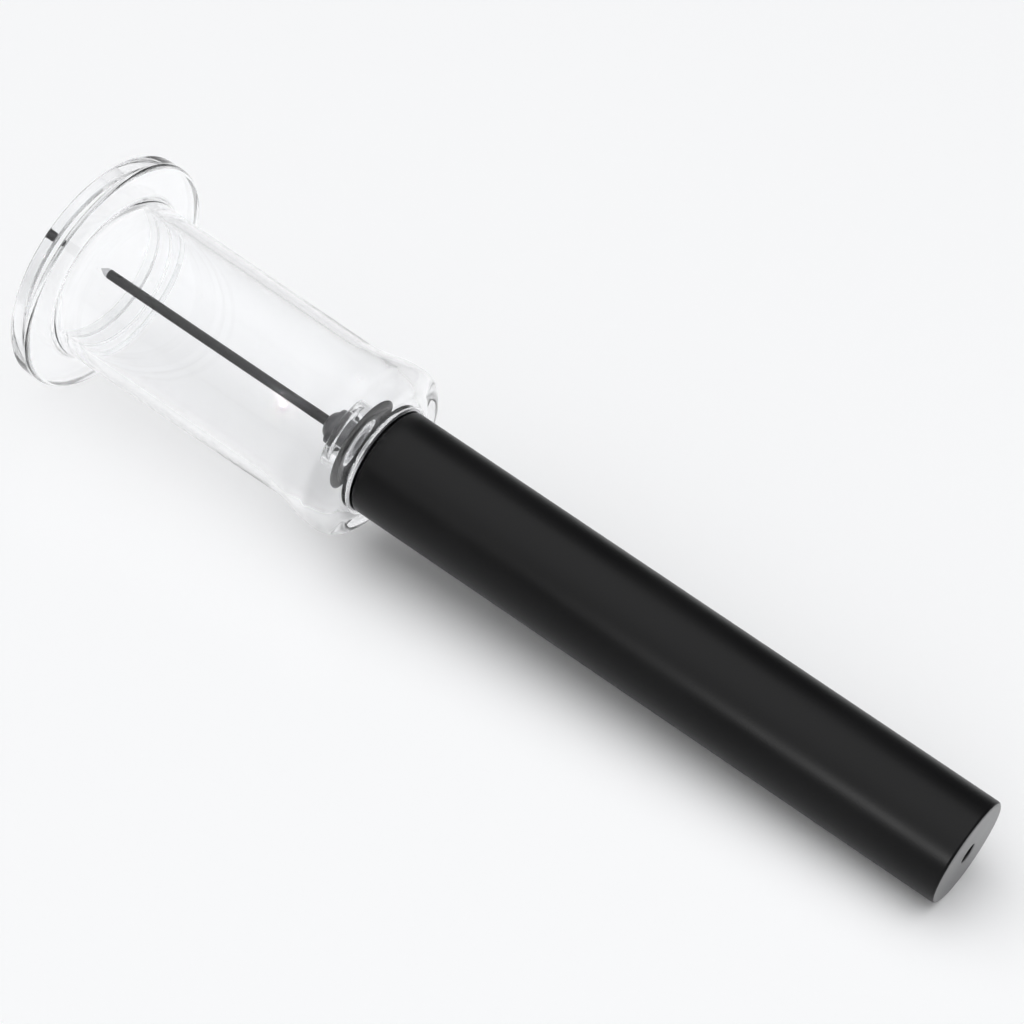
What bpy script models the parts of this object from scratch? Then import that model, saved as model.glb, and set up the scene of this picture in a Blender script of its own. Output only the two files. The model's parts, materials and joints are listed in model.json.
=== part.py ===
"""Hand-pump wine bottle opener, lying on a flat surface.

Every round piece is turned about the pump's axis. In the opener's own frame that axis is X: the
mouth of the hood is at X = 0 and the closed end of the handle is at the far end. An empty named
lean carries all the pieces and tips the opener until the rim of the mouth flange and the rim of
the handle's end both rest on the floor. Sizes are in metres.
"""

import math

import bmesh
import bpy
from mathutils import Vector

# The clear hood
FLANGE_RADIUS = 0.0251
FLANGE_THICKNESS = 0.0048
FLANGE_ROUND = 0.0009
BORE_RADIUS = 0.0150
BORE_DRAFT = 0.0002
TUBE_RADIUS = 0.0174
TUBE_TAPER = 0.0007
SHOULDER_RADIUS = 0.0183
SHOULDER_ROUND = 0.0040
HOOD_LENGTH = 0.0734
FLOOR_DEPTH = 0.0700
BOSS_DEPTH = 0.0654
BOSS_RADIUS = 0.0066
REAR_RECESS_RADIUS = 0.0117
REAR_RECESS_DEPTH = 0.0017

# The needle and its hub
NEEDLE_RADIUS = 0.0010
NEEDLE_BORE = 0.0005
NEEDLE_TIP = 0.0012
NEEDLE_POINT_LENGTH = 0.0015
NEEDLE_END = 0.0690
SIDE_HOLE_RADIUS = 0.00035
SIDE_HOLE_DEPTH = 0.0060
HUB_START = 0.0613
HUB_NOSE_RADIUS = 0.00355
HUB_NOSE_LENGTH = 0.0050
HUB_SHANK_RADIUS = 0.0026
HUB_END = 0.0739

# The pump handle
HANDLE_FRONT = 0.0738
HANDLE_END = 0.2051
HANDLE_FRONT_RADIUS = 0.0110
HANDLE_END_RADIUS = 0.0106
HANDLE_END_ROUND = 0.0007
HANDLE_BORE = 0.0097
AIR_HOLE_RADIUS = 0.0020
END_WALL = 0.0036
CLIP_GROOVE = 0.0768

# The pump inside the handle
ROD_RADIUS = 0.0040
ROD_SPIGOT_RADIUS = 0.0030
ROD_FRONT = 0.0707
ROD_END = 0.1909
CYLINDER_RADIUS = 0.0094
CYLINDER_BORE = 0.0086
CYLINDER_FRONT = 0.0809
CYLINDER_END = 0.1990
BUSH_FRONT = 0.0782
BUSH_END = 0.0862
PISTON_FRONT = 0.1789
PISTON_LENGTH = 0.0080
O_RING_RADIUS = 0.0075
O_RING_SECTION = 0.0009
GROOVE_FLOOR = 0.0064
GROOVE_WIDTH = 0.0026
VALVE_BODY_FRONT = 0.1930
VALVE_SEAT = 0.1979

GAP = 0.0003
LARGE_SIDES = 32
SMALL_SIDES = 20
TINY_SIDES = 12
HEX_POINTS = 24
SMOOTH_ANGLE = math.radians(40)


def clear_scene():
    for item in list(bpy.data.objects):
        bpy.data.objects.remove(item, do_unlink=True)


def make_material(name, colour, roughness, metallic=0.0, transmission=0.0):
    material = bpy.data.materials.new(name)
    material.use_nodes = True
    shader = material.node_tree.nodes["Principled BSDF"]
    shader.inputs["Base Color"].default_value = (*colour, 1.0)
    shader.inputs["Roughness"].default_value = roughness
    shader.inputs["Metallic"].default_value = metallic
    shader.inputs["Transmission Weight"].default_value = transmission
    return material


def add_object(name, data, material, parent):
    piece = bpy.data.objects.new(name, data)
    bpy.context.scene.collection.objects.link(piece)
    data.materials.append(material)
    piece.parent = parent
    return piece


def add_mesh(name, bm, material, parent):
    bmesh.ops.recalc_face_normals(bm, faces=bm.faces)
    mesh = bpy.data.meshes.new(name)
    bm.to_mesh(mesh)
    bm.free()
    mesh.shade_smooth()
    mesh.set_sharp_from_angle(angle=SMOOTH_ANGLE)
    return add_object(name, mesh, material, parent)


def rounded(corners):
    """Outline points from corners (depth, radius) or (depth, radius, round, steps)."""
    outline = []
    for index, corner in enumerate(corners):
        point = Vector(corner[:2])
        if len(corner) == 2:
            outline.append(point)
            continue
        reach, steps = corner[2:]
        before = (Vector(corners[index - 1][:2]) - point).normalized()
        after = (Vector(corners[(index + 1) % len(corners)][:2]) - point).normalized()
        half_angle = before.angle(after) / 2
        centre = point + (before + after).normalized() * reach / math.sin(half_angle)
        first = point + before * reach / math.tan(half_angle) - centre
        last = point + after * reach / math.tan(half_angle) - centre
        outline += [centre + first.slerp(last, step / steps).normalized() * reach
                    for step in range(steps + 1)]
    return outline


def turned(name, corners, material, parent, sides=SMALL_SIDES, turn=2 * math.pi, hollow=True):
    """A piece turned about X, with its flats, one of them underneath, at the outline's radius.

    A hollow outline is a closed loop, any other ends on the axis.
    """
    outline = rounded(corners)
    steps = round(sides * turn / (2 * math.pi))
    lean_in = math.tan(math.pi / sides)
    bm = bmesh.new()
    verts = [bm.verts.new((depth, -radius * lean_in, -radius)) for depth, radius in outline]
    edges = [bm.edges.new(pair) for pair in zip(verts, verts[1:])]
    if hollow:
        edges.append(bm.edges.new((verts[-1], verts[0])))
    whole = turn >= 2 * math.pi
    bmesh.ops.spin(bm, geom=verts + edges, axis=(1, 0, 0), cent=(0, 0, 0), angle=turn,
                   steps=steps, use_merge=whole, use_normal_flip=False, use_duplicate=False)
    bmesh.ops.remove_doubles(bm, verts=bm.verts, dist=1e-6)
    if not whole:
        rims = [edge for edge in bm.edges if edge.is_boundary]
        bmesh.ops.holes_fill(bm, edges=rims, sides=0)
    return add_mesh(name, bm, material, parent)


def ring(name, front, end, inner, outer, edge, material, parent, sides=SMALL_SIDES,
         turn=2 * math.pi):
    """A plain ring or tube with its outer edges broken by a small chamfer."""
    corners = [(front, inner), (end, inner), (end, outer, edge, 1), (front, outer, edge, 1)]
    return turned(name, corners, material, parent, sides, turn)


def o_ring(name, depth, radius, section, material, parent, sides=SMALL_SIDES):
    points = 6
    corners = [(depth + section * math.cos(2 * math.pi * index / points),
                radius + section * math.sin(2 * math.pi * index / points))
               for index in range(points)]
    return turned(name, corners, material, parent, sides)


def hex_nut(name, front, end, flats, bore, material, parent):
    """A hexagonal nut whose bore has as many points as its rim, so that they bridge cleanly."""
    bm = bmesh.new()
    loops = []
    for depth in (front, end):
        for hexagonal in (True, False):
            verts = []
            for index in range(HEX_POINTS):
                angle = 2 * math.pi * index / HEX_POINTS
                to_flat = (angle + math.pi / 6) % (math.pi / 3) - math.pi / 6
                radius = flats / 2 / math.cos(to_flat) if hexagonal else bore
                verts.append(bm.verts.new((depth, radius * math.cos(angle),
                                           radius * math.sin(angle))))
            loops.append([bm.edges.new(pair) for pair in zip(verts, verts[1:] + verts[:1])])
    front_hex, front_bore, end_hex, end_bore = loops
    for first, second in ((front_hex, front_bore), (end_hex, end_bore),
                          (front_hex, end_hex), (front_bore, end_bore)):
        bmesh.ops.bridge_loops(bm, edges=first + second)
    return add_mesh(name, bm, material, parent)


def coil_spring(name, front, end, radius, wire, turns, material, parent):
    """A coil of round wire, as a bevelled curve along a helix."""
    points_per_turn = 10
    count = turns * points_per_turn + 1
    curve = bpy.data.curves.new(name, "CURVE")
    curve.dimensions = "3D"
    curve.bevel_depth = wire
    curve.bevel_resolution = 1
    curve.use_fill_caps = True
    spline = curve.splines.new("POLY")
    spline.points.add(count - 1)
    for index, point in enumerate(spline.points):
        angle = 2 * math.pi * index / points_per_turn
        depth = front + (end - front) * index / (count - 1)
        point.co = (depth, radius * math.cos(angle), radius * math.sin(angle), 1.0)
    return add_object(name, curve, material, parent)


def cut_round_holes(piece, places, radius, length, axis, parent):
    """Boolean-cut round holes of one radius through a piece, centred on the given places."""
    for index, place in enumerate(places):
        bm = bmesh.new()
        bmesh.ops.create_cone(bm, cap_ends=True, segments=10, radius1=radius, radius2=radius,
                              depth=length)
        mesh = bpy.data.meshes.new(f"{piece.name}_cutter_{index}")
        bm.to_mesh(mesh)
        bm.free()
        cutter = bpy.data.objects.new(mesh.name, mesh)
        bpy.context.scene.collection.objects.link(cutter)
        cutter.parent = parent
        cutter.location = place
        cutter.rotation_euler = Vector((0, 0, 1)).rotation_difference(Vector(axis)).to_euler()
        cutter.hide_render = True
        cutter.display_type = "WIRE"
        hole = piece.modifiers.new(cutter.name, "BOOLEAN")
        hole.operation = "DIFFERENCE"
        hole.object = cutter


def make_hood(material, parent):
    """Flange, tube, shoulder, rear wall and central boss in one clear moulding."""
    floor_radius = BORE_RADIUS - BORE_DRAFT
    tube_rear_radius = TUBE_RADIUS - TUBE_TAPER
    recess_floor = HOOD_LENGTH - REAR_RECESS_DEPTH
    seal_bore = 0.0039
    hub_bore = HUB_SHANK_RADIUS + GAP
    rod_bore = ROD_RADIUS + GAP
    seal_floor = 0.0674
    rod_step = ROD_FRONT - GAP
    flare_start = 0.0605
    flare_end = 0.0665
    corners = [
        (0.0, BORE_RADIUS + 0.0008),
        (0.0009, BORE_RADIUS),
        (FLOOR_DEPTH, floor_radius, 0.0034, 3),
        (FLOOR_DEPTH, BOSS_RADIUS, 0.0006, 1),
        (BOSS_DEPTH, BOSS_RADIUS, 0.0015, 2),
        (BOSS_DEPTH, seal_bore),
        (seal_floor, seal_bore),
        (seal_floor, hub_bore),
        (rod_step, hub_bore),
        (rod_step, rod_bore),
        (recess_floor, rod_bore),
        (recess_floor, REAR_RECESS_RADIUS),
        (HOOD_LENGTH, REAR_RECESS_RADIUS),
        (HOOD_LENGTH, SHOULDER_RADIUS, SHOULDER_ROUND, 4),
        (flare_end, SHOULDER_RADIUS, 0.0080, 2),
        (flare_start, tube_rear_radius, 0.0080, 2),
        (FLANGE_THICKNESS, TUBE_RADIUS, 0.0016, 2),
        (FLANGE_THICKNESS, FLANGE_RADIUS, FLANGE_ROUND, 2),
        (0.0, FLANGE_RADIUS, FLANGE_ROUND, 2),
    ]
    return turned("hood", corners, material, parent, LARGE_SIDES)


def make_needle(material, parent):
    """A hollow needle with a closed point, open at the hub end, with two side holes."""
    blind_end = NEEDLE_TIP + 2 * NEEDLE_POINT_LENGTH
    shoulder = NEEDLE_TIP + NEEDLE_POINT_LENGTH
    corners = [
        (NEEDLE_TIP, 0.0),
        (shoulder, NEEDLE_RADIUS),
        (NEEDLE_END, NEEDLE_RADIUS),
        (NEEDLE_END, NEEDLE_BORE),
        (blind_end + NEEDLE_BORE, NEEDLE_BORE),
        (blind_end, 0.0),
    ]
    needle = turned("needle", corners, material, parent, TINY_SIDES, hollow=False)
    cut_round_holes(needle, [(SIDE_HOLE_DEPTH, 0, 0)], SIDE_HOLE_RADIUS, 4 * NEEDLE_RADIUS,
                    (0, 0, 1), parent)
    return needle


def make_needle_hub(material, parent):
    """The hub's round nose shows in the hood, and its shank screws into the pump rod."""
    nose_end = HUB_START + HUB_NOSE_LENGTH
    socket = NEEDLE_RADIUS + GAP
    corners = [
        (HUB_START, socket),
        (NEEDLE_END + GAP, socket),
        (NEEDLE_END + GAP, NEEDLE_BORE),
        (HUB_END, NEEDLE_BORE),
        (HUB_END, HUB_SHANK_RADIUS, 0.0003, 1),
        (nose_end, HUB_SHANK_RADIUS),
        (nose_end, HUB_NOSE_RADIUS),
        (HUB_START, HUB_NOSE_RADIUS, 0.0020, 3),
    ]
    return turned("needle_hub", corners, material, parent)


def make_handle_shell(material, parent):
    """The outer shell: open at the front, closed at the end except for the air hole."""
    wall_front = HANDLE_END - END_WALL
    groove_end = CLIP_GROOVE + 0.0013
    groove_radius = HANDLE_BORE + 0.0004
    corners = [
        (HANDLE_FRONT, HANDLE_BORE + 0.0004),
        (HANDLE_FRONT + 0.0004, HANDLE_BORE),
        (CLIP_GROOVE, HANDLE_BORE),
        (CLIP_GROOVE, groove_radius),
        (groove_end, groove_radius),
        (groove_end, HANDLE_BORE),
        (wall_front, HANDLE_BORE),
        (wall_front, AIR_HOLE_RADIUS),
        (HANDLE_END, AIR_HOLE_RADIUS, 0.0003, 1),
        (HANDLE_END, HANDLE_END_RADIUS, HANDLE_END_ROUND, 3),
        (HANDLE_FRONT, HANDLE_FRONT_RADIUS, 0.0004, 2),
    ]
    return turned("handle_shell", corners, material, parent, LARGE_SIDES)


def make_pump_rod(material, parent):
    """A hollow rod with a socket for the hub, a valve chamber and a spigot for the piston."""
    spigot_start = PISTON_FRONT - GAP
    socket = HUB_SHANK_RADIUS + GAP
    corners = [
        (ROD_FRONT, socket),
        (HUB_END + GAP, socket),
        (HUB_END + GAP, 0.0012),
        (0.1817, 0.0012),
        (0.1817, 0.0019),
        (ROD_END, 0.0019),
        (ROD_END, ROD_SPIGOT_RADIUS, 0.0003, 1),
        (spigot_start, ROD_SPIGOT_RADIUS),
        (spigot_start, ROD_RADIUS),
        (ROD_FRONT, ROD_RADIUS, 0.0003, 1),
    ]
    return turned("pump_rod", corners, material, parent)


def make_piston(material, parent):
    """A grooved piston, free to turn on the rod's spigot."""
    end = PISTON_FRONT + PISTON_LENGTH
    groove_front = PISTON_FRONT + (PISTON_LENGTH - GROOVE_WIDTH) / 2
    groove_end = groove_front + GROOVE_WIDTH
    radius = CYLINDER_BORE - GAP
    bore = ROD_SPIGOT_RADIUS + GAP
    corners = [
        (PISTON_FRONT, bore),
        (end, bore),
        (end, radius, 0.0004, 1),
        (groove_end, radius),
        (groove_end, GROOVE_FLOOR),
        (groove_front, GROOVE_FLOOR),
        (groove_front, radius),
        (PISTON_FRONT, radius, 0.0004, 1),
    ]
    return turned("piston", corners, material, parent)


def make_front_bush(material, parent):
    """Guide bush: a flange against the clip, a spigot in the cylinder and a wiper pocket."""
    flange_end = CYLINDER_FRONT - GAP
    wiper_floor = BUSH_FRONT + 0.0025
    corners = [
        (BUSH_FRONT, 0.0063),
        (wiper_floor, 0.0063),
        (wiper_floor, ROD_RADIUS + GAP),
        (BUSH_END, ROD_RADIUS + GAP),
        (BUSH_END, CYLINDER_BORE - GAP),
        (flange_end, CYLINDER_BORE - GAP),
        (flange_end, HANDLE_BORE - GAP),
        (BUSH_FRONT, HANDLE_BORE - GAP),
    ]
    return turned("front_bush", corners, material, parent)


def make_rod_wiper(material, parent):
    front = BUSH_FRONT + 0.0002
    end = front + 0.0020
    lip = ROD_RADIUS + 0.0002
    corners = [(front, lip), (front + 0.0007, lip), (end, lip + 0.0005), (end, 0.0060),
               (front, 0.0060)]
    return turned("rod_wiper", corners, material, parent)


def make_valve_body(material, parent):
    """Plug at the cylinder's closed end, with the inlet passage, its seat and a chamber."""
    flange_front = CYLINDER_END + GAP
    end = HANDLE_END - END_WALL - GAP
    groove_front = VALVE_BODY_FRONT + 0.0020
    groove_end = groove_front + GROOVE_WIDTH
    radius = CYLINDER_BORE - GAP
    corners = [
        (VALVE_BODY_FRONT, 0.0044),
        (VALVE_SEAT, 0.0044),
        (VALVE_SEAT, 0.0015),
        (end, 0.0015),
        (end, CYLINDER_RADIUS),
        (flange_front, CYLINDER_RADIUS),
        (flange_front, radius),
        (groove_end, radius),
        (groove_end, GROOVE_FLOOR),
        (groove_front, GROOVE_FLOOR),
        (groove_front, radius),
        (VALVE_BODY_FRONT, radius),
    ]
    return turned("valve_body", corners, material, parent)


def make_inlet_disc(material, parent):
    """A rubber disc on the seat, with a stud that keeps the spring centred."""
    end = VALVE_SEAT - GAP
    front = end - 0.0007
    stud = front - 0.0007
    corners = [(stud, 0.0), (stud, 0.0010), (front, 0.0010), (front, 0.0039), (end, 0.0039),
               (end, 0.0)]
    return turned("inlet_disc", corners, material, parent, hollow=False)


def make_inlet_cage(material, parent):
    """A cap over the valve chamber, with four vents round a central hole."""
    end = VALVE_BODY_FRONT + 0.0008
    flange_end = VALVE_BODY_FRONT - GAP
    front = VALVE_BODY_FRONT - 0.0011
    corners = [(front, 0.0009), (end, 0.0009), (end, 0.0041), (flange_end, 0.0041),
               (flange_end, 0.0064), (front, 0.0064)]
    cage = turned("inlet_cage", corners, material, parent)
    vent_circle = 0.0031
    vents = [(front, vent_circle * math.cos(turn * math.pi / 2),
              vent_circle * math.sin(turn * math.pi / 2)) for turn in range(4)]
    cut_round_holes(cage, vents, 0.0006, 0.0080, (1, 0, 0), parent)
    return cage


def make_outlet_ball(material, parent):
    """The ball's origin is at its own centre, on the axis it lifts along."""
    radius = 0.0012
    corners = [(-radius * math.cos(math.pi * step / 8), radius * math.sin(math.pi * step / 8))
               for step in range(9)]
    ball = turned("outlet_ball", corners, material, parent, TINY_SIDES, hollow=False)
    ball.location = (0.1881, 0, 0)
    return ball


def make_hood_group(finish, parent):
    """The hood and all that stays fixed to it: the needle, its hub, the rod and its nuts."""
    make_hood(finish["clear_plastic"], parent)
    make_needle(finish["coated_steel"], parent)
    make_needle_hub(finish["dark_metal"], parent)
    seal_depth = HUB_START + HUB_NOSE_LENGTH + 0.00055
    o_ring("hub_seal", seal_depth, 0.00325, 0.0004, finish["black_rubber"], parent)
    pad_end = FLOOR_DEPTH - GAP
    ring("lip_pad", pad_end - 0.0006, pad_end, 0.0103, 0.0115, 0.0002, finish["black_rubber"],
         parent, LARGE_SIDES)
    ring_front = HOOD_LENGTH - REAR_RECESS_DEPTH + GAP
    ring("front_ring", ring_front, HANDLE_FRONT - GAP, ROD_RADIUS + GAP, 0.0114, 0.0003,
         finish["bright_metal"], parent, LARGE_SIDES)
    washer_front = HANDLE_FRONT - GAP + 0.0002
    ring("lock_washer", washer_front, washer_front + 0.0007, ROD_RADIUS + GAP, 0.0062, 0.0001,
         finish["steel"], parent, turn=math.radians(345))
    nut_front = washer_front + 0.0009
    hex_nut("rod_nut", nut_front, nut_front + 0.0028, 0.0110, ROD_RADIUS + GAP,
            finish["steel"], parent)
    make_pump_rod(finish["bright_metal"], parent)
    ring("outlet_seat", 0.1892, 0.1906, 0.0008, 0.0017, 0.0001, finish["black_rubber"], parent,
         TINY_SIDES)
    coil_spring("outlet_spring", 0.1821, 0.1873, 0.00145, 0.0002, 5, finish["steel"], parent)
    washer_front = PISTON_FRONT + PISTON_LENGTH + 0.0002
    ring("piston_washer", washer_front, washer_front + 0.0008, ROD_SPIGOT_RADIUS + GAP, 0.0062,
         0.0001, finish["steel"], parent)
    nut_front = washer_front + 0.0010
    hex_nut("piston_nut", nut_front, nut_front + 0.0026, 0.0100, ROD_SPIGOT_RADIUS + GAP,
            finish["steel"], parent)


def make_handle_group(finish, parent):
    """The shell and all that moves with it: the cylinder, its bush and the inlet valve."""
    make_handle_shell(finish["satin_black"], parent)
    ring("pump_cylinder", CYLINDER_FRONT, CYLINDER_END, CYLINDER_BORE, CYLINDER_RADIUS, 0.0002,
         finish["aluminium"], parent, LARGE_SIDES)
    ring("bush_clip", CLIP_GROOVE + 0.0002, CLIP_GROOVE + 0.0011, 0.0074, HANDLE_BORE + 0.0002,
         0.0001, finish["steel"], parent, LARGE_SIDES, math.radians(315))
    make_front_bush(finish["grey_plastic"], parent)
    make_rod_wiper(finish["black_rubber"], parent)
    ring("bumper", BUSH_END + GAP, BUSH_END + GAP + 0.0018, 0.0046, 0.0082, 0.0004,
         finish["black_rubber"], parent)
    make_valve_body(finish["grey_plastic"], parent)
    o_ring("valve_body_o_ring", VALVE_BODY_FRONT + 0.0020 + GROOVE_WIDTH / 2, O_RING_RADIUS,
           O_RING_SECTION, finish["black_rubber"], parent)
    coil_spring("inlet_spring", 0.1942, 0.1966, 0.0019, 0.0002, 3, finish["steel"], parent)
    make_inlet_cage(finish["grey_plastic"], parent)


def make_moving_pieces(finish, parent):
    """The piston that swivels on the rod, and the two valve pieces that lift."""
    make_piston(finish["grey_plastic"], parent)
    o_ring("piston_o_ring", PISTON_FRONT + PISTON_LENGTH / 2, O_RING_RADIUS, O_RING_SECTION,
           finish["black_rubber"], parent)
    make_inlet_disc(finish["black_rubber"], parent)
    make_outlet_ball(finish["steel"], parent)


def rest_on_floor(lean):
    """Tip the opener onto its two rims and centre its box over the origin, on the floor."""
    run = (HANDLE_END - HANDLE_END_ROUND) - (FLANGE_THICKNESS - FLANGE_ROUND)
    drop = FLANGE_RADIUS - HANDLE_END_RADIUS
    lean.rotation_euler.y = math.atan2(drop, run)
    turn = lean.rotation_euler.to_matrix()
    points = [turn @ vert.co for name in ("hood", "handle_shell")
              for vert in bpy.data.meshes[name].vertices]
    low_x = min(point.x for point in points)
    high_x = max(point.x for point in points)
    lean.location = (-(low_x + high_x) / 2, 0, -min(point.z for point in points))


def make_finishes():
    return {
        "clear_plastic": make_material("clear_plastic", (0.95, 0.95, 0.95), 0.05, 0.0, 1.0),
        "coated_steel": make_material("coated_steel", (0.03, 0.03, 0.032), 0.45, 0.3),
        "dark_metal": make_material("dark_metal", (0.10, 0.10, 0.105), 0.30, 0.9),
        "bright_metal": make_material("bright_metal", (0.75, 0.75, 0.76), 0.15, 1.0),
        "steel": make_material("steel", (0.55, 0.55, 0.56), 0.35, 1.0),
        "aluminium": make_material("aluminium", (0.70, 0.71, 0.72), 0.30, 1.0),
        "satin_black": make_material("satin_black", (0.012, 0.012, 0.013), 0.38),
        "grey_plastic": make_material("grey_plastic", (0.22, 0.22, 0.23), 0.50),
        "black_rubber": make_material("black_rubber", (0.015, 0.015, 0.015), 0.70),
    }


def main():
    clear_scene()
    lean = bpy.data.objects.new("lean", None)
    bpy.context.scene.collection.objects.link(lean)
    finish = make_finishes()
    make_hood_group(finish, lean)
    make_handle_group(finish, lean)
    make_moving_pieces(finish, lean)
    rest_on_floor(lean)


main()
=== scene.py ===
"""Looks of the hand-pump wine bottle opener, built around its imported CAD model.

Every round piece is turned about the pump's axis in the opener's own frame, where X runs from
the middle of the hood's mouth along that axis, and is then laid down as the CAD lies. Sizes are
in metres.
"""

import json
import math

import bmesh
import bpy
from mathutils import Matrix, Vector


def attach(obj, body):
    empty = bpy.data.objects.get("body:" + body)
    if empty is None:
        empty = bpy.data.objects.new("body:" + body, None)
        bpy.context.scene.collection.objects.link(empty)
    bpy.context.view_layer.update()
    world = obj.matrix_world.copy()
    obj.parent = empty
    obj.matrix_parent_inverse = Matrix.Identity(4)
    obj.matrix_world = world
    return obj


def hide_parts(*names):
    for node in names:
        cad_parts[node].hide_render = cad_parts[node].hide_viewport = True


# The clear hood
FLANGE_RADIUS = 0.0251
FLANGE_THICKNESS = 0.0048
BORE_RADIUS = 0.0150
FLOOR_DEPTH = 0.0700
BOSS_DEPTH = 0.0654
BOSS_RADIUS = 0.0066
TUBE_FRONT_RADIUS = 0.0174
TUBE_REAR_RADIUS = 0.0167
SHOULDER_RADIUS = 0.0183
FLARE_START = 0.0605
SHOULDER_START = 0.0665
FLARE_ROUND = 0.0210
HOOD_LENGTH = 0.0734
SEAL_RECESS_RADIUS = 0.0039
SEAL_FLOOR = 0.0674
ROD_SEAT = 0.0704
REAR_RECESS_RADIUS = 0.0117
RECESS_FLOOR = 0.0717

# The needle and its hub
NEEDLE_RADIUS = 0.0010
NEEDLE_BORE = 0.0005
NEEDLE_TIP = 0.0012
NEEDLE_POINT_LENGTH = 0.0015
NEEDLE_BLIND_END = 0.0042
NEEDLE_END = 0.0690
COATING_START = 0.0034
COATING_THICKNESS = 0.00004
SIDE_HOLE_DEPTH = 0.0060
SIDE_HOLE_RADIUS = 0.00035
HUB_START = 0.0613
HUB_NOSE_END = 0.0663
HUB_NOSE_RADIUS = 0.00355
HUB_SHANK_RADIUS = 0.0026
HUB_END = 0.0739

# The handle
HANDLE_FRONT = 0.0738
HANDLE_END = 0.2051
HANDLE_FRONT_RADIUS = 0.0110
HANDLE_END_RADIUS = 0.0106
HANDLE_BORE = 0.0097
AIR_HOLE_RADIUS = 0.0020
END_WALL_FRONT = 0.2015
CLIP_GROOVE = 0.0768
CLIP_GROOVE_END = 0.0781
ROD_RADIUS = 0.0040

# The gap round the shank and the rod, and behind the needle
FIT = 0.0003

# The sides of large and small turned pieces
LARGE_SIDES = 160
SMALL_SIDES = 96

# An edge that bends more than this is sharp
SHARP_ANGLE = math.radians(32)

# Two measures no further apart than this are the same
MATCH = 2e-6

# The round of a corner takes no more than this share of the shorter edge beside it
EDGE_SHARE = 0.4

# Long enough to go right through a piece
DRILL_LENGTH = 0.008

# A wave texture repeats after this length when its scale is 1
WAVE_SPAN = 0.314

FLOOR_RADIUS = 6.0
BOUNCES = 32


def opener_frame(record):
    """The matrix from the opener's own frame, X along the pump's axis, to the row frame."""
    mouth = next(mount for mount in record["mounts"] if mount["name"] == "mouth_face")
    joints = record["behaviour"]["joints"]
    twist = next(joint for joint in joints if joint["name"] == "handle_twist")
    along = Vector(twist["axis"]).normalized()
    across = Vector((0, 1, 0))
    upward = along.cross(across)
    turn = Matrix((along, across, upward)).transposed()
    start = Vector((mouth["pos_m"][0], 0, mouth["pos_m"][2]))
    return Matrix.Translation(start) @ turn.to_4x4()


# Outlines and meshes

def rounded(corners):
    """Outline points from corners (depth, radius) or (depth, radius, round, steps)."""
    outline = []
    for index, corner in enumerate(corners):
        point = Vector(corner[:2])
        if len(corner) == 2:
            outline.append(point)
            continue
        reach, steps = corner[2:]
        before = (Vector(corners[index - 1][:2]) - point).normalized()
        after = (Vector(corners[(index + 1) % len(corners)][:2]) - point).normalized()
        half_angle = before.angle(after) / 2
        centre = point + (before + after).normalized() * reach / math.sin(half_angle)
        first = point + before * reach / math.tan(half_angle) - centre
        last = point + after * reach / math.tan(half_angle) - centre
        outline += [centre + first.slerp(last, step / steps).normalized() * reach
                    for step in range(steps + 1)]
    return outline


def softened(points, reach=0.00012, steps=3):
    """The corners of an outline, each with a small round that fits the edges beside it."""
    corners = []
    for index, point in enumerate(points):
        before = points[index - 1] - point
        after = points[(index + 1) % len(points)] - point
        bend = math.pi - before.angle(after)
        on_axis = point.y < MATCH
        if on_axis or bend < SHARP_ANGLE:
            corners.append(tuple(point))
            continue
        room = EDGE_SHARE * min(before.length, after.length) / math.tan(bend / 2)
        corners.append((point.x, point.y, min(reach, room), steps))
    return corners


def turned_mesh(outline, sides, turn=2 * math.pi, hollow=True):
    """Turns outline points (depth, radius) about X and lays the result down as the CAD lies."""
    bm = bmesh.new()
    verts = [bm.verts.new((depth, 0, -radius)) for depth, radius in outline]
    edges = [bm.edges.new(pair) for pair in zip(verts, verts[1:])]
    if hollow:
        edges.append(bm.edges.new((verts[-1], verts[0])))
    whole = turn >= 2 * math.pi
    steps = round(sides * turn / (2 * math.pi))
    bmesh.ops.spin(bm, geom=verts + edges, axis=(1, 0, 0), cent=(0, 0, 0), angle=turn,
                   steps=steps, use_merge=whole, use_normal_flip=False, use_duplicate=False)
    bmesh.ops.remove_doubles(bm, verts=bm.verts, dist=1e-6)
    if not whole:
        rims = [edge for edge in bm.edges if edge.is_boundary]
        bmesh.ops.holes_fill(bm, edges=rims, sides=0)
    return bm


def lofted_mesh(rings):
    """Rings of as many points each, joined one to the next and the last to the first."""
    bm = bmesh.new()
    loops = [[bm.verts.new(point) for point in ring] for ring in rings]
    for first, second in zip(loops, loops[1:] + loops[:1]):
        for index in range(len(first)):
            following = (index + 1) % len(first)
            bm.faces.new((first[index], first[following], second[following], second[index]))
    return bm


def scratch_object(bm):
    """A plain object of the bmesh, to cut with or to be cut."""
    mesh = bpy.data.meshes.new("scratch")
    bm.to_mesh(mesh)
    bm.free()
    scratch = bpy.data.objects.new("scratch", mesh)
    bpy.context.scene.collection.objects.link(scratch)
    return scratch


def drilled_mesh(bm, places, radius, axis):
    """The mesh with round holes cut right through it at the places, along an axis."""
    drills = bmesh.new()
    turn = Vector((0, 0, 1)).rotation_difference(Vector(axis)).to_matrix().to_4x4()
    for place in places:
        bmesh.ops.create_cone(drills, cap_ends=True, segments=24, radius1=radius,
                              radius2=radius, depth=DRILL_LENGTH,
                              matrix=Matrix.Translation(place) @ turn)
    bmesh.ops.recalc_face_normals(bm, faces=bm.faces)
    whole = scratch_object(bm)
    tool = scratch_object(drills)
    holes = whole.modifiers.new("holes", "BOOLEAN")
    holes.object = tool
    cut = bmesh.new()
    cut.from_object(whole, bpy.context.evaluated_depsgraph_get())
    for scratch in (whole, tool):
        bpy.data.meshes.remove(scratch.data)
    return cut


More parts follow.
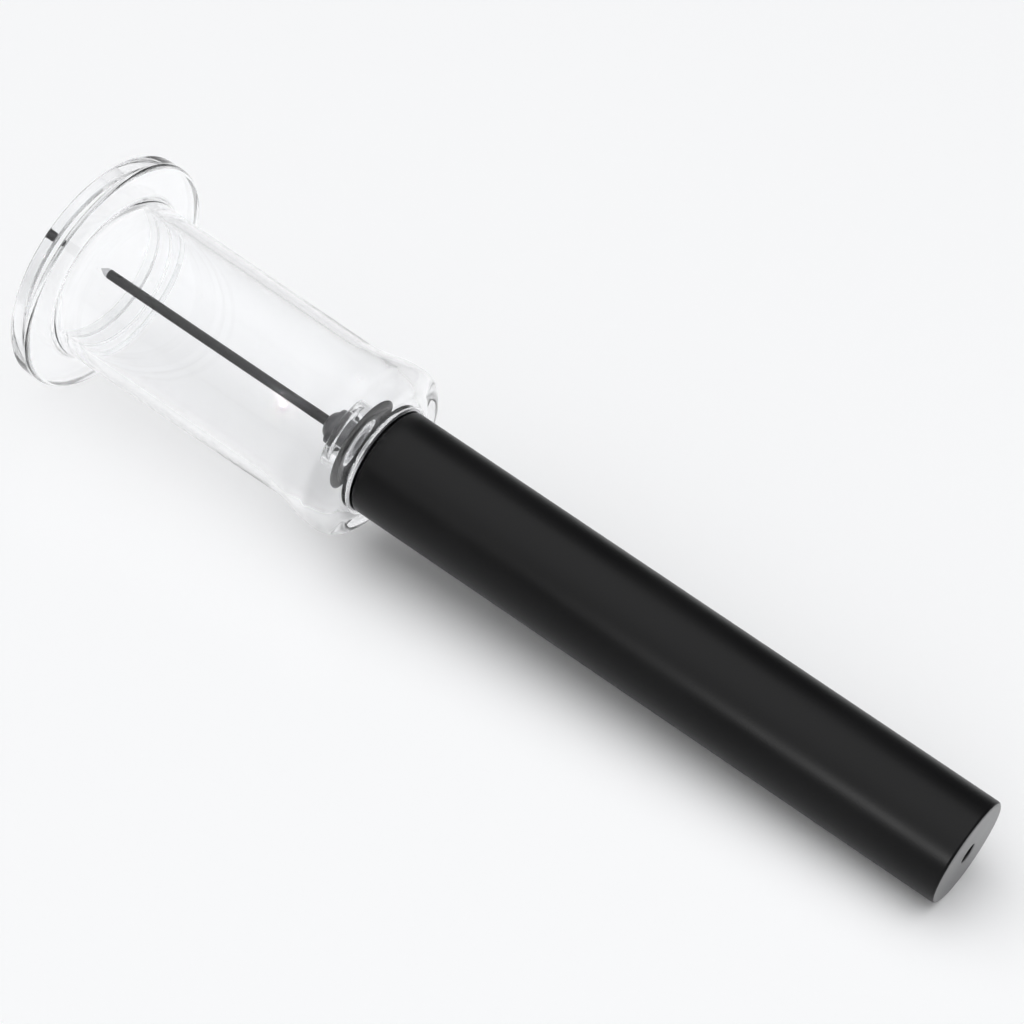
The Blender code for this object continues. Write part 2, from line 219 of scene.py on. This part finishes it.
def add_piece(node, bm, finish, body):
    """Makes a piece of the bmesh that rides on a CAD body and stands for a CAD node."""
    name = node + "_look"
    bmesh.ops.recalc_face_normals(bm, faces=bm.faces)
    bm.transform(OPENER)
    mesh = bpy.data.meshes.new(name)
    bm.to_mesh(mesh)
    bm.free()
    mesh.shade_smooth()
    mesh.set_sharp_from_angle(angle=SHARP_ANGLE)
    mesh.materials.append(FINISHES[finish])
    piece = bpy.data.objects.new(name, mesh)
    bpy.context.scene.collection.objects.link(piece)
    shading = piece.modifiers.new("even_shading", "WEIGHTED_NORMAL")
    shading.keep_sharp = True
    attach(piece, body)
    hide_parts(node)
    return piece


def turned(node, corners, finish, body, sides=SMALL_SIDES, turn=2 * math.pi, hollow=True):
    """A turned piece that stands for the CAD node of the same name."""
    bm = turned_mesh(rounded(corners), sides, turn, hollow)
    return add_piece(node, bm, finish, body)


def cad_outline(node):
    """The outline (depth, radius) that a turned CAD node was spun from, and if it is hollow."""
    bm = bmesh.new()
    bm.from_mesh(FRAME["nodes"][node].data)
    bm.transform(OPENER.inverted())
    bmesh.ops.remove_doubles(bm, verts=bm.verts, dist=MATCH)
    widest = max(bm.verts, key=lambda vert: vert.co.yz.length)
    ray = widest.co.yz.normalized()
    shrink = math.cos(math.pi / len([vert for vert in bm.verts
                                     if abs(vert.co.x - widest.co.x) < MATCH
                                     and abs(vert.co.yz.length - widest.co.yz.length) < MATCH]))
    row = {vert for vert in bm.verts
           if abs(vert.co.yz.cross(ray)) < MATCH and vert.co.yz.dot(ray) > -MATCH}
    ends = [vert for vert in row if vert.co.yz.length < MATCH]
    start = min(ends, key=lambda vert: vert.co.x) if ends else widest
    outline = []
    current = start
    while current is not None:
        outline.append(Vector((current.co.x, current.co.yz.length * shrink)))
        row.discard(current)
        beside = [edge.other_vert(current) for edge in current.link_edges]
        current = next((vert for vert in beside if vert in row), None)
    bm.free()
    return outline, not ends


def turned_again(node, finish, body, sides=SMALL_SIDES):
    """The CAD node's own outline with softened corners, turned finely."""
    outline, hollow = cad_outline(node)
    turned(node, softened(outline), finish, body, sides, hollow=hollow)


def o_ring(node, finish, body):
    """A true round ring of rubber where the CAD has one with a six-sided section."""
    outline = cad_outline(node)[0]
    centre = sum(outline, Vector((0, 0))) / len(outline)
    section = (outline[0] - centre).length
    points = 20
    corners = [(centre.x + section * math.cos(2 * math.pi * index / points),
                centre.y + section * math.sin(2 * math.pi * index / points))
               for index in range(points)]
    turned(node, corners, finish, body)


def part_ring(node, body, front, end, inner, outer, degrees):
    """An open steel ring, such as a snap ring or a split washer."""
    section = [(front, inner), (end, inner), (end, outer), (front, outer)]
    edge = 0.0001
    corners = [(depth, radius, edge, 2) for depth, radius in section]
    turned(node, corners, "steel", body, LARGE_SIDES, math.radians(degrees))


def hex_nut(node, body, front, end, flats, bore):
    """A hexagonal nut with turned chamfers on its corners and at both ends of its bore."""
    edge = 0.00025
    face_radius = 0.96 * flats / 2
    rings = [[] for corner in range(8)]
    for index in range(SMALL_SIDES):
        angle = 2 * math.pi * index / SMALL_SIDES
        to_flat = (angle + math.pi / 6) % (math.pi / 3) - math.pi / 6
        rim = flats / 2 / math.cos(to_flat)
        drop = (rim - face_radius) * math.tan(math.radians(30))
        outline = [(front + edge, bore), (front, bore + edge), (front, face_radius),
                   (front + drop, rim), (end - drop, rim), (end, face_radius),
                   (end, bore + edge), (end - edge, bore)]
        for ring, (depth, radius) in zip(rings, outline):
            ring.append((depth, radius * math.cos(angle), radius * math.sin(angle)))
    add_piece(node, lofted_mesh(rings), "steel", body)


# Materials

def shader_of(name, colour, roughness, metallic=0.0):
    """A new material and its shader, with the values it has before anything is linked to it."""
    material = bpy.data.materials.new(name)
    material.use_nodes = True
    shader = material.node_tree.nodes["Principled BSDF"]
    shader.inputs["Base Color"].default_value = (*colour, 1.0)
    shader.inputs["Roughness"].default_value = roughness
    shader.inputs["Metallic"].default_value = metallic
    return material, shader


def own_place(tree):
    """A socket with the point in the opener's own frame, in metres."""
    source = tree.nodes.new("ShaderNodeTexCoord")
    mapping = tree.nodes.new("ShaderNodeMapping")
    mapping.vector_type = "TEXTURE"
    mapping.inputs["Location"].default_value = OPENER.translation
    mapping.inputs["Rotation"].default_value = OPENER.to_euler()
    tree.links.new(source.outputs["Object"], mapping.inputs["Vector"])
    return mapping.outputs["Vector"]


def stretched(tree, place, along, across):
    """The place scaled along the axis and across it, to draw a pattern out along one of them."""
    mapping = tree.nodes.new("ShaderNodeMapping")
    mapping.inputs["Scale"].default_value = (along, across, across)
    tree.links.new(place, mapping.inputs["Vector"])
    return mapping.outputs["Vector"]


def noise(tree, place, scale, detail=3.0):
    """A socket with a noise from 0 to 1, whose patches are about 1 / scale metres wide."""
    texture = tree.nodes.new("ShaderNodeTexNoise")
    texture.inputs["Scale"].default_value = scale
    texture.inputs["Detail"].default_value = detail
    tree.links.new(place, texture.inputs["Vector"])
    return texture.outputs["Fac"]


def ranged(tree, value, low, high, start=0.3, end=0.7):
    """The value from start to end, spread from low to high."""
    ramp = tree.nodes.new("ShaderNodeMapRange")
    ramp.inputs["From Min"].default_value = start
    ramp.inputs["From Max"].default_value = end
    ramp.inputs["To Min"].default_value = low
    ramp.inputs["To Max"].default_value = high
    tree.links.new(value, ramp.inputs["Value"])
    return ramp.outputs["Result"]


def vary_colour(tree, shader, value, low, high):
    """Spreads the shader's colour from low to high by the value."""
    ramp = tree.nodes.new("ShaderNodeValToRGB")
    ramp.color_ramp.elements[0].position = 0.3
    ramp.color_ramp.elements[0].color = (*low, 1.0)
    ramp.color_ramp.elements[1].position = 0.7
    ramp.color_ramp.elements[1].color = (*high, 1.0)
    tree.links.new(value, ramp.inputs["Fac"])
    tree.links.new(ramp.outputs["Color"], shader.inputs["Base Color"])


def bump(tree, shader, height, depth):
    """Bumps of a real depth in metres."""
    node = tree.nodes.new("ShaderNodeBump")
    node.inputs["Distance"].default_value = depth
    tree.links.new(height, node.inputs["Height"])
    tree.links.new(node.outputs["Normal"], shader.inputs["Normal"])


def turning_lines(tree, place, pitch):
    """Fine rings round the axis, as a lathe leaves them."""
    wave = tree.nodes.new("ShaderNodeTexWave")
    wave.bands_direction = "X"
    wave.inputs["Scale"].default_value = WAVE_SPAN / pitch
    wave.inputs["Distortion"].default_value = 1.5
    tree.links.new(place, wave.inputs["Vector"])
    return wave.outputs["Fac"]


def let_lamps_through(material, shader, share):
    """Lamp light passes each surface of a clear piece straight, less a small loss."""
    tree = material.node_tree
    path = tree.nodes.new("ShaderNodeLightPath")
    film = tree.nodes.new("ShaderNodeBsdfTransparent")
    film.inputs["Color"].default_value = (share, share, share, 1.0)
    mix = tree.nodes.new("ShaderNodeMixShader")
    tree.links.new(path.outputs["Is Shadow Ray"], mix.inputs["Fac"])
    tree.links.new(shader.outputs["BSDF"], mix.inputs[1])
    tree.links.new(film.outputs["BSDF"], mix.inputs[2])
    tree.links.new(mix.outputs["Shader"], tree.nodes["Material Output"].inputs["Surface"])


def clear_plastic():
    """Water-clear moulding: faint flow waves and a polish that varies a little."""
    material, shader = shader_of("clear_plastic", (0.995, 0.997, 1.0), 0.01)
    shader.inputs["Transmission Weight"].default_value = 1.0
    shader.inputs["IOR"].default_value = 1.49
    shader.inputs["Specular IOR Level"].default_value = 0.2
    tree = material.node_tree
    place = own_place(tree)
    polish = noise(tree, place, 90.0)
    tree.links.new(ranged(tree, polish, 0.0, 0.03), shader.inputs["Roughness"])
    flow = noise(tree, stretched(tree, place, 0.25, 1.0), 160.0, 1.0)
    bump(tree, shader, flow, 0.00001)
    let_lamps_through(material, shader, 0.965)
    return material


def satin_black(name, tone, gloss, refraction):
    """Satin moulding with a very fine grain, whose tone and sheen vary along it."""
    dark = (tone, tone, 1.07 * tone)
    light = (1.35 * tone, 1.35 * tone, 1.43 * tone)
    material, shader = shader_of(name, light, 0.34)
    shader.inputs["Specular IOR Level"].default_value = gloss
    shader.inputs["IOR"].default_value = refraction
    tree = material.node_tree
    place = own_place(tree)
    patches = noise(tree, stretched(tree, place, 0.4, 1.0), 120.0)
    vary_colour(tree, shader, patches, dark, light)
    tree.links.new(ranged(tree, patches, 0.30, 0.37), shader.inputs["Roughness"])
    grain = noise(tree, place, 4000.0, 2.0)
    bump(tree, shader, grain, 0.000012)
    return material


def coated_steel():
    """Dark non-stick coating on the needle, slightly mottled, with faint lines along it."""
    dark = (0.007, 0.007, 0.0073)
    light = (0.012, 0.012, 0.0123)
    material, shader = shader_of("coated_steel", light, 0.5)
    shader.inputs["Specular IOR Level"].default_value = 0.15
    tree = material.node_tree
    place = own_place(tree)
    mottle = noise(tree, place, 900.0)
    vary_colour(tree, shader, mottle, dark, light)
    tree.links.new(ranged(tree, mottle, 0.50, 0.66), shader.inputs["Roughness"])
    drawn = noise(tree, stretched(tree, place, 0.05, 1.0), 6000.0, 1.0)
    bump(tree, shader, drawn, 0.000006)
    return material


def metal(name, low, high, roughness, pitch, depth):
    """Turned metal: rings left by the tool, light stains and a polish that varies."""
    material, shader = shader_of(name, high, roughness, 1.0)
    tree = material.node_tree
    place = own_place(tree)
    stains = noise(tree, place, 350.0)
    vary_colour(tree, shader, stains, low, high)
    tree.links.new(ranged(tree, stains, 0.8 * roughness, 1.25 * roughness),
                   shader.inputs["Roughness"])
    bump(tree, shader, turning_lines(tree, place, pitch), depth)
    return material


def moulded(name, low, high, roughness, grain_scale, depth):
    """A matt moulded surface, plastic or rubber, with a fine grain."""
    material, shader = shader_of(name, high, roughness)
    tree = material.node_tree
    place = own_place(tree)
    patches = noise(tree, place, 300.0)
    vary_colour(tree, shader, patches, low, high)
    tree.links.new(ranged(tree, patches, 0.9 * roughness, 1.1 * roughness),
                   shader.inputs["Roughness"])
    bump(tree, shader, noise(tree, place, grain_scale), depth)
    return material


def make_finishes():
    """Every finish by name. Those named as a slot of the part are the looks of that slot."""
    return {
        "clear_plastic": clear_plastic(),
        "satin_black": satin_black("satin_black", tone=0.004, gloss=0.13, refraction=1.5),
        # The end face is the same satin moulding as the rest of the handle. This paler tone with
        # a high IOR is painted sheen for the bright reflection its face shows at a grazing view.
        "end_face_painted_sheen": satin_black("end_face_painted_sheen", tone=0.05, gloss=0.5, refraction=2.6),
        "coated_steel": coated_steel(),
        "dark_metal": metal("dark_metal", (0.045, 0.045, 0.047), (0.085, 0.085, 0.088),
                            roughness=0.34, pitch=0.00012, depth=0.000004),
        "bright_metal": metal("bright_metal", (0.60, 0.60, 0.61), (0.68, 0.68, 0.69),
                              roughness=0.20, pitch=0.00020, depth=0.000001),
        "steel": metal("steel", (0.48, 0.48, 0.49), (0.60, 0.60, 0.61),
                       roughness=0.34, pitch=0.00015, depth=0.000004),
        "aluminium": metal("aluminium", (0.66, 0.67, 0.68), (0.76, 0.77, 0.78),
                           roughness=0.30, pitch=0.00018, depth=0.000003),
        "grey_plastic": moulded("grey_plastic", (0.045, 0.045, 0.047), (0.060, 0.060, 0.063),
                                roughness=0.45, grain_scale=3000.0, depth=0.00001),
        "black_rubber": moulded("black_rubber", (0.008, 0.008, 0.008), (0.013, 0.013, 0.013),
                                roughness=0.70, grain_scale=2500.0, depth=0.00002),
    }


def finish_faces(piece, finish, front, end):
    """Gives the faces of a piece between two depths a finish of their own."""
    piece.data.materials.append(FINISHES[finish])
    back = OPENER.inverted()
    for face in piece.data.polygons:
        if front <= (back @ face.center).x <= end:
            face.material_index = 1


# The pieces on the hood

def make_hood():
    """The clear hood: bore, floor, boss and recesses, then the outside back to the mouth."""
    corners = [
        (0.0, BORE_RADIUS + 0.0008, 0.0003, 3),
        (0.0009, BORE_RADIUS, 0.0008, 3),
        (FLOOR_DEPTH, BORE_RADIUS - 0.0002, 0.0034, 12),
        (FLOOR_DEPTH, BOSS_RADIUS, 0.0006, 4),
        (BOSS_DEPTH, BOSS_RADIUS, 0.0015, 8),
        (BOSS_DEPTH, SEAL_RECESS_RADIUS, 0.0003, 3),
        (SEAL_FLOOR, SEAL_RECESS_RADIUS, 0.0002, 2),
        (SEAL_FLOOR, HUB_SHANK_RADIUS + FIT, 0.0002, 2),
        (ROD_SEAT, HUB_SHANK_RADIUS + FIT, 0.0002, 2),
        (ROD_SEAT, ROD_RADIUS + FIT, 0.0002, 2),
        (RECESS_FLOOR, ROD_RADIUS + FIT, 0.0002, 2),
        (RECESS_FLOOR, REAR_RECESS_RADIUS, 0.0004, 3),
        (HOOD_LENGTH, REAR_RECESS_RADIUS, 0.0003, 3),
        (HOOD_LENGTH, SHOULDER_RADIUS, 0.0040, 16),
        (SHOULDER_START, SHOULDER_RADIUS, FLARE_ROUND, 12),
        (FLARE_START, TUBE_REAR_RADIUS, FLARE_ROUND, 12),
        (FLANGE_THICKNESS, TUBE_FRONT_RADIUS, 0.0016, 8),
        (FLANGE_THICKNESS, FLANGE_RADIUS, 0.0009, 6),
        (0.0, FLANGE_RADIUS, 0.0009, 6),
    ]
    turned("hood", corners, "clear_plastic", "hood", LARGE_SIDES)


def make_needle():
    """A hollow needle with a bare ground point, a coating behind it and a side hole."""
    bare_radius = NEEDLE_RADIUS - COATING_THICKNESS
    corners = [
        (NEEDLE_TIP, 0.0),
        (NEEDLE_TIP + 0.0001, 0.00012),
        (NEEDLE_TIP + NEEDLE_POINT_LENGTH, bare_radius, 0.0012, 4),
        (COATING_START, bare_radius),
        (COATING_START + 0.00006, NEEDLE_RADIUS),
        (NEEDLE_END, NEEDLE_RADIUS),
        (NEEDLE_END, NEEDLE_BORE),
        (NEEDLE_BLIND_END + NEEDLE_BORE, NEEDLE_BORE),
        (NEEDLE_BLIND_END, 0.0),
    ]
    whole = turned_mesh(rounded(corners), 48, hollow=False)
    cut = drilled_mesh(whole, [(SIDE_HOLE_DEPTH, 0, 0)], SIDE_HOLE_RADIUS, (0, 0, 1))
    needle = add_piece("needle", cut, "coated_steel", "hood")
    finish_faces(needle, "steel", NEEDLE_TIP, COATING_START)


def make_needle_hub():
    """The hub has a round-edged nose that grips the needle, and a shank behind it."""
    grip_radius = NEEDLE_RADIUS + 0.00005
    grip_floor = NEEDLE_END + FIT
    corners = [
        (HUB_START, grip_radius, 0.0003, 3),
        (grip_floor, grip_radius),
        (grip_floor, NEEDLE_BORE),
        (HUB_END, NEEDLE_BORE),
        (HUB_END, HUB_SHANK_RADIUS, 0.0003, 3),
        (HUB_NOSE_END, HUB_SHANK_RADIUS),
        (HUB_NOSE_END, HUB_NOSE_RADIUS, 0.0002, 3),
        (HUB_START, HUB_NOSE_RADIUS, 0.0020, 10),
    ]
    turned("needle_hub", corners, "dark_metal", "hood")


def make_handle_shell():
    """A tube with a clip groove near its front, closed by an end wall with the air hole."""
    groove_radius = HANDLE_BORE + 0.0004
    corners = [
        (HANDLE_FRONT, HANDLE_BORE + 0.0004),
        (HANDLE_FRONT + 0.0004, HANDLE_BORE),
        (CLIP_GROOVE, HANDLE_BORE),
        (CLIP_GROOVE, groove_radius),
        (CLIP_GROOVE_END, groove_radius),
        (CLIP_GROOVE_END, HANDLE_BORE),
        (END_WALL_FRONT, HANDLE_BORE),
        (END_WALL_FRONT, AIR_HOLE_RADIUS),
        (HANDLE_END, AIR_HOLE_RADIUS, 0.0003, 4),
        (HANDLE_END, HANDLE_END_RADIUS, 0.0007, 8),
        (HANDLE_FRONT, HANDLE_FRONT_RADIUS, 0.0004, 6),
    ]
    shell = turned("handle_shell", corners, "satin_black", "handle", LARGE_SIDES)
    # The end face gets the paler copy of the satin black: painted sheen for its grazing
    # reflection.
    finish_faces(shell, "end_face_painted_sheen", HANDLE_END - 0.0002, HANDLE_END)
    return shell


def make_inlet_cage():
    """A cap over the valve chamber, with four vents round a central hole."""
    front = 0.1919
    step = 0.1927
    end = 0.1938
    hole_radius = 0.0009
    plug_radius = 0.0041
    cap_radius = 0.0064
    corners = [
        (front, hole_radius, 0.0002, 2),
        (end, hole_radius),
        (end, plug_radius, 0.0002, 2),
        (step, plug_radius),
        (step, cap_radius),
        (front, cap_radius, 0.0002, 3),
    ]
    vent_circle = 0.0031
    vents = [(0.1930, vent_circle * math.cos(turn * math.pi / 2),
              vent_circle * math.sin(turn * math.pi / 2)) for turn in range(4)]
    cut = drilled_mesh(turned_mesh(rounded(corners), SMALL_SIDES), vents, 0.0006, (1, 0, 0))
    add_piece("inlet_cage", cut, "grey_plastic", "handle")


def make_outlet_ball():
    """The outlet valve's ball, which replaces a coarser one."""
    centre = 0.1881
    radius = 0.0012
    steps = 24
    corners = [(centre - radius * math.cos(math.pi * step / steps),
                radius * math.sin(math.pi * step / steps)) for step in range(steps + 1)]
    turned("outlet_ball", corners, "steel", "outlet_valve", 48, hollow=False)


def finish_springs():
    """The springs shorten as the valves lift, so the CAD coils stay and get a steel finish."""
    for node in ("outlet_spring", "inlet_spring"):
        FRAME["nodes"][node].data.materials[0] = FINISHES["steel"]


# Stage

def make_camera():
    """The camera looks down at the handle's side, with a small roll."""
    azimuth = math.radians(29.32)
    elevation = math.radians(41.23)
    roll = math.radians(10.45)
    distance = 0.559
    back = Vector((math.sin(azimuth) * math.cos(elevation),
                   -math.cos(azimuth) * math.cos(elevation), math.sin(elevation)))
    level = Vector((math.cos(azimuth), math.sin(azimuth), 0))
    upward = back.cross(level)
    across = level * math.cos(roll) + upward * math.sin(roll)
    upright = upward * math.cos(roll) - level * math.sin(roll)
    middle = OPENER @ Vector((0.100, 0, 0))
    aim = middle + level * 0.0020 + upward * 0.0048
    camera = bpy.data.objects.new("camera", bpy.data.cameras.new("camera"))
    bpy.context.scene.collection.objects.link(camera)
    camera.data.sensor_width = 36.0
    camera.data.lens = 105.5
    camera.data.clip_start = 0.01
    turn = Matrix((across, upright, back)).transposed()
    camera.matrix_world = Matrix.Translation(aim + back * distance) @ turn.to_4x4()
    bpy.context.scene.camera = camera


def make_floor():
    """A wide white floor with hardly any gloss."""
    bm = bmesh.new()
    bmesh.ops.create_circle(bm, cap_ends=True, segments=SMALL_SIDES, radius=FLOOR_RADIUS)
    mesh = bpy.data.meshes.new("floor")
    bm.to_mesh(mesh)
    bm.free()
    material, shader = shader_of("floor", (0.95, 0.955, 0.965), 0.15)
    shader.inputs["Specular IOR Level"].default_value = 0.10
    mesh.materials.append(material)
    floor = bpy.data.objects.new("floor", mesh)
    bpy.context.scene.collection.objects.link(floor)


def add_lamp(name, light, place, turn, shown_in=None):
    """Adds a lamp that lights surfaces, or one that only shows as a reflection in one piece.

    A lamp that lights surfaces isn't sampled by bounces, which a clear piece would stop.
    """
    lamp = bpy.data.objects.new(name, light)
    lamp.location = place
    lamp.rotation_euler = turn.to_euler()
    lamp.visible_diffuse = shown_in is None
    lamp.visible_transmission = shown_in is None
    lamp.visible_glossy = shown_in is not None
    light.cycles.use_multiple_importance_sampling = shown_in is not None
    bpy.context.scene.collection.objects.link(lamp)
    if shown_in is not None:
        receivers = bpy.data.collections.new(name + "_shows_in")
        receivers.objects.link(shown_in)
        lamp.light_linking.receiver_collection = receivers


def add_sun(name, direction, strength, angle, shown_in=None):
    """A soft overhead light, seen from the object as a disc angle wide in a direction."""
    light = bpy.data.lights.new(name, "SUN")
    light.energy = strength
    light.angle = math.radians(angle)
    add_lamp(name, light, (0, 0, 1), Vector(direction).to_track_quat("Z", "Y"), shown_in)


def add_softbox(name, place, aim, width, height, power, shown_in):
    """A bright rectangle at a place, turned to face another, that shows in one piece."""
    light = bpy.data.lights.new(name, "AREA")
    light.shape = "RECTANGLE"
    light.size = width
    light.size_y = height
    light.energy = power
    away = Vector(place) - Vector(aim)
    add_lamp(name, light, place, away.to_track_quat("Z", "Y"), shown_in)


def make_room(world):
    """A pale room, darker low down, that shows in reflections and through the clear hood."""
    world.use_nodes = True
    tree = world.node_tree
    background = tree.nodes["Background"]
    background.inputs["Color"].default_value = (0.90, 0.905, 0.915, 1.0)
    source = tree.nodes.new("ShaderNodeTexCoord")
    parts = tree.nodes.new("ShaderNodeSeparateXYZ")
    tree.links.new(source.outputs["Generated"], parts.inputs["Vector"])
    direct = ranged(tree, parts.outputs["Z"], low=0.10, high=1.0, start=0.55, end=0.95)
    mouthward = tree.nodes.new("ShaderNodeVectorMath")
    mouthward.operation = "DOT_PRODUCT"
    mouthward.inputs[1].default_value = (-0.6, 0.0, 0.8)
    tree.links.new(source.outputs["Generated"], mouthward.inputs[0])
    bent = ranged(tree, mouthward.outputs["Value"], low=0.62, high=1.05, start=0.0, end=0.55)
    path = tree.nodes.new("ShaderNodeLightPath")
    through = tree.nodes.new("ShaderNodeMath")
    through.operation = "GREATER_THAN"
    through.inputs[1].default_value = 0.5
    tree.links.new(path.outputs["Transmission Depth"], through.inputs[0])
    blend = tree.nodes.new("ShaderNodeMix")
    tree.links.new(through.outputs["Value"], blend.inputs["Factor"])
    tree.links.new(direct, blend.inputs["A"])
    tree.links.new(bent, blend.inputs["B"])
    unlit = tree.nodes.new("ShaderNodeMath")
    unlit.operation = "SUBTRACT"
    unlit.use_clamp = True
    tree.links.new(blend.outputs["Result"], unlit.inputs[0])
    tree.links.new(path.outputs["Is Diffuse Ray"], unlit.inputs[1])
    tree.links.new(unlit.outputs["Value"], background.inputs["Strength"])


def make_light():
    """A pale room and soft lamps overhead that leave a soft shadow."""
    scene = bpy.context.scene
    scene.world = bpy.data.worlds.new("studio")
    make_room(scene.world)
    add_sun("overhead", direction=(0.0, -0.40, 1.0), strength=2.45, angle=120)
    add_sun("key", direction=(0.0, -0.10, 1.0), strength=0.85, angle=60)
    scene.cycles.max_bounces = BOUNCES
    scene.cycles.transmission_bounces = BOUNCES
    scene.cycles.glossy_bounces = BOUNCES
    scene.cycles.caustics_reflective = False
    scene.cycles.caustics_refractive = False
    scene.view_settings.view_transform = "Standard"


def add_sheen(shell):
    """The sheen along the top of the handle, and a streak of light low on its near side."""
    add_sun("sheen", direction=(-0.3, -0.35, 1.0), strength=2.4, angle=100, shown_in=shell)
    add_softbox("strip", place=(0.02, -0.72, 0.22), aim=(0.09, 0, 0.02), width=0.10,
                height=0.12, power=1.5, shown_in=shell)


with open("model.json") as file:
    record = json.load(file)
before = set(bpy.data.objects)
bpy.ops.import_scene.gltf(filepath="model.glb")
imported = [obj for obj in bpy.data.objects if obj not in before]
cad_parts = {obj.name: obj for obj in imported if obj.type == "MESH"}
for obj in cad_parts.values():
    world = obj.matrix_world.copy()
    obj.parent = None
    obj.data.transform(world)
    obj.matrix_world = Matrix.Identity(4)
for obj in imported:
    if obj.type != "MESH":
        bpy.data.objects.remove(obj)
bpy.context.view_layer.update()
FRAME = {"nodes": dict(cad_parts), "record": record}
OPENER = opener_frame(FRAME["record"])
make_camera()
make_light()
make_floor()
FINISHES = make_finishes()

make_hood()
make_needle()
make_needle_hub()
add_sheen(make_handle_shell())
o_ring("hub_seal", "black_rubber", "hood")
turned_again("lip_pad", "black_rubber", "hood", LARGE_SIDES)
turned_again("front_ring", "bright_metal", "hood", LARGE_SIDES)
turned_again("pump_rod", "bright_metal", "hood")
turned_again("outlet_seat", "black_rubber", "hood")
turned_again("piston_washer", "steel", "hood")
turned_again("piston", "grey_plastic", "piston")
o_ring("piston_o_ring", "black_rubber", "piston")
turned_again("pump_cylinder", "aluminium", "handle", LARGE_SIDES)
turned_again("front_bush", "grey_plastic", "handle")
turned_again("rod_wiper", "black_rubber", "handle")
turned_again("bumper", "black_rubber", "handle")
turned_again("valve_body", "grey_plastic", "handle")
o_ring("valve_body_o_ring", "black_rubber", "handle")
turned_again("inlet_disc", "black_rubber", "inlet_valve")
part_ring("lock_washer", "hood", front=0.0737, end=0.0744, inner=0.0043, outer=0.0062,
          degrees=345)
part_ring("bush_clip", "handle", front=0.0770, end=0.0779, inner=0.0074, outer=0.0099,
          degrees=315)
hex_nut("rod_nut", "hood", front=0.0746, end=0.0774, flats=0.0110, bore=0.0043)
hex_nut("piston_nut", "hood", front=0.1881, end=0.1907, flats=0.0100, bore=0.0033)
make_inlet_cage()
make_outlet_ball()
finish_springs()
